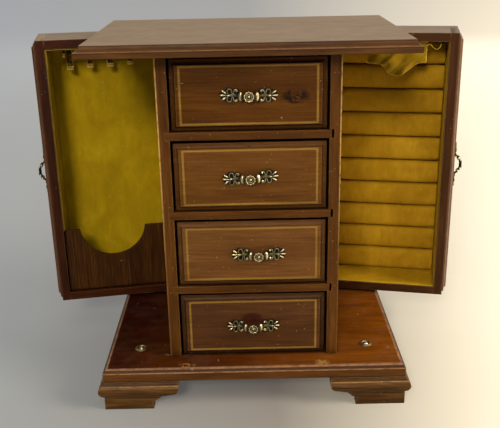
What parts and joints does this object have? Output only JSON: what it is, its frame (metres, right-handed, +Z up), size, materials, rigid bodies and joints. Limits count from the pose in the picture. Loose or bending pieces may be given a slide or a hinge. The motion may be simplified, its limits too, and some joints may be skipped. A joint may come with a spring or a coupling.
{
  "type": "musical jewelry box",
  "caption": "Footed jewelry box with a drawer cabinet, hinged velvet-lined side trays with necklace hooks and padded ring rolls, and a wind-up musical movement inside.",
  "frame": {"origin": "on the table, under the middle of the whole outline as modelled, with both side trays open", "axes": "+Z up; the drawers and the front of the base face -Y; +X to the right seen from the front"},
  "size_m": [0.4506, 0.2278, 0.3353],
  "materials": {
    "antique_brass": "antiqued, dark in the recesses",
    "base_stained_wood": "satin lacquer over reddish stain",
    "bright_brass": "polished",
    "comb_steel": "ground",
    "gold_velvet": "short-pile velvet",
    "gold_velvet_rolls": "short-pile velvet over foam",
    "key_steel": "nickel plated",
    "maple_stringing": "satin lacquer",
    "movement_brass": "machined",
    "movement_cast_plate": "die-cast, nickel plated",
    "pale_drawer_wood": "bare wood",
    "polished_steel": "polished",
    "veneered_plywood": "thin satin lacquer over veneer",
    "walnut_stained_wood": "satin lacquer over walnut-coloured stain",
    "zinc_plated_steel": "zinc plated"
  },
  "bodies": {
    "cabinet": {"top_board": "walnut_stained_wood", "base_board": "base_stained_wood", "foot_front_left": "base_stained_wood", "foot_front_right": "base_stained_wood", "foot_rear_left": "base_stained_wood", "foot_rear_right": "base_stained_wood", "cabinet_side_left": "walnut_stained_wood", "cabinet_side_right": "walnut_stained_wood", "cabinet_back": "veneered_plywood", "drawer_dividers": "walnut_stained_wood", "fixed_screws": "zinc_plated_steel", "ball_catch_cups": "bright_brass", "cabinet_hinge_leaves_left": "bright_brass", "cabinet_hinge_leaves_right": "bright_brass", "movement_bedplate": "movement_cast_plate", "movement_spring_barrel": "movement_brass", "movement_comb": "comb_steel"},
    "left_tray": {"left_tray_walls": "walnut_stained_wood", "left_tray_outer_panel": "veneered_plywood", "left_tray_front_panel": "walnut_stained_wood", "left_tray_pull": "antique_brass", "left_tray_lining": "gold_velvet", "left_tray_hinges_and_strike": "bright_brass", "left_tray_pocket": "veneered_plywood", "necklace_hooks": "bright_brass"},
    "right_tray": {"right_tray_walls": "walnut_stained_wood", "right_tray_outer_panel": "veneered_plywood", "right_tray_front_panel": "walnut_stained_wood", "right_tray_pull": "antique_brass", "right_tray_lining": "gold_velvet", "right_tray_hinges_and_strike": "bright_brass", "right_tray_loose_lining": "gold_velvet", "ring_rolls": "gold_velvet_rolls"},
    "drawer_1": {"drawer_1_front": "walnut_stained_wood", "drawer_1_inlay": "maple_stringing", "drawer_1_pull": "antique_brass", "drawer_1_box": "pale_drawer_wood", "drawer_1_lining": "gold_velvet"},
    "drawer_2": {"drawer_2_front": "walnut_stained_wood", "drawer_2_inlay": "maple_stringing", "drawer_2_pull": "antique_brass", "drawer_2_box": "pale_drawer_wood", "drawer_2_lining": "gold_velvet"},
    "drawer_3": {"drawer_3_front": "walnut_stained_wood", "drawer_3_inlay": "maple_stringing", "drawer_3_pull": "antique_brass", "drawer_3_box": "pale_drawer_wood", "drawer_3_lining": "gold_velvet"},
    "drawer_4": {"drawer_4_front": "walnut_stained_wood", "drawer_4_inlay": "maple_stringing", "drawer_4_pull": "antique_brass", "drawer_4_box": "pale_drawer_wood", "drawer_4_lining": "gold_velvet"},
    "catch_ball_left": {"catch_ball_left": "polished_steel"},
    "catch_ball_right": {"catch_ball_right": "polished_steel"},
    "cylinder": {"movement_cylinder": "movement_brass"},
    "governor_wheel": {"movement_governor_wheel": "movement_brass"},
    "governor_fly": {"movement_governor_fly": "movement_brass"},
    "winding_key": {"movement_winding_key": "key_steel"},
    "stop_lever": {"movement_stop_lever": "movement_brass"}
  },
  "joints": [
    {"name": "left_tray_hinge", "type": "hinge", "parent": "cabinet", "child": "left_tray", "pos_m": [-0.07934, 0.05673, 0.1827], "axis": [0, 0, -1], "range_deg": [-80.5, 16.5]},
    {"name": "right_tray_hinge", "type": "hinge", "parent": "cabinet", "child": "right_tray", "pos_m": [0.07916, 0.05673, 0.1827], "axis": [0, 0, 1], "range_deg": [-78, 19]},
    {"name": "drawer_1_slide", "type": "slide", "parent": "cabinet", "child": "drawer_1", "axis": [0, -1, 0], "range_m": [0, 0.1]},
    {"name": "drawer_2_slide", "type": "slide", "parent": "cabinet", "child": "drawer_2", "axis": [0, -1, 0], "range_m": [0, 0.1]},
    {"name": "drawer_3_slide", "type": "slide", "parent": "cabinet", "child": "drawer_3", "axis": [0, -1, 0], "range_m": [0, 0.1]},
    {"name": "drawer_4_slide", "type": "slide", "parent": "cabinet", "child": "drawer_4", "axis": [0, -1, 0], "range_m": [0, 0.075]},
    {"name": "catch_ball_left_slide", "type": "slide", "parent": "cabinet", "child": "catch_ball_left", "axis": [0, 0, 1], "range_m": [-0.001, 0], "stiffness_N_per_m": 300},
    {"name": "catch_ball_right_slide", "type": "slide", "parent": "cabinet", "child": "catch_ball_right", "axis": [0, 0, 1], "range_m": [-0.001, 0], "stiffness_N_per_m": 300},
    {"name": "cylinder_spin", "type": "hinge", "parent": "cabinet", "child": "cylinder", "pos_m": [-0.00209, 0.04273, 0.07802], "axis": [1, 0, 0], "continuous": true},
    {"name": "governor_wheel_spin", "type": "hinge", "parent": "cabinet", "child": "governor_wheel", "pos_m": [0.01591, 0.04273, 0.08678], "axis": [1, 0, 0], "continuous": true},
    {"name": "governor_fly_spin", "type": "hinge", "parent": "cabinet", "child": "governor_fly", "pos_m": [0.02211, 0.04273, 0.09098], "axis": [0, 1, 0], "continuous": true},
    {"name": "winding_key_turn", "type": "hinge", "parent": "cabinet", "child": "winding_key", "pos_m": [-0.01759, 0.06183, 0.07402], "axis": [0, 1, 0], "continuous": true},
    {"name": "stop_lever_swing", "type": "hinge", "parent": "cabinet", "child": "stop_lever", "pos_m": [0.00991, 0.03573, 0.09652], "axis": [0, 1, 0], "range_deg": [0, 12]}
  ],
  "couplings": [
    {"joint": "governor_wheel_spin", "follows": "cylinder_spin", "ratio": -4},
    {"joint": "governor_fly_spin", "follows": "cylinder_spin", "ratio": -32}
  ]
}
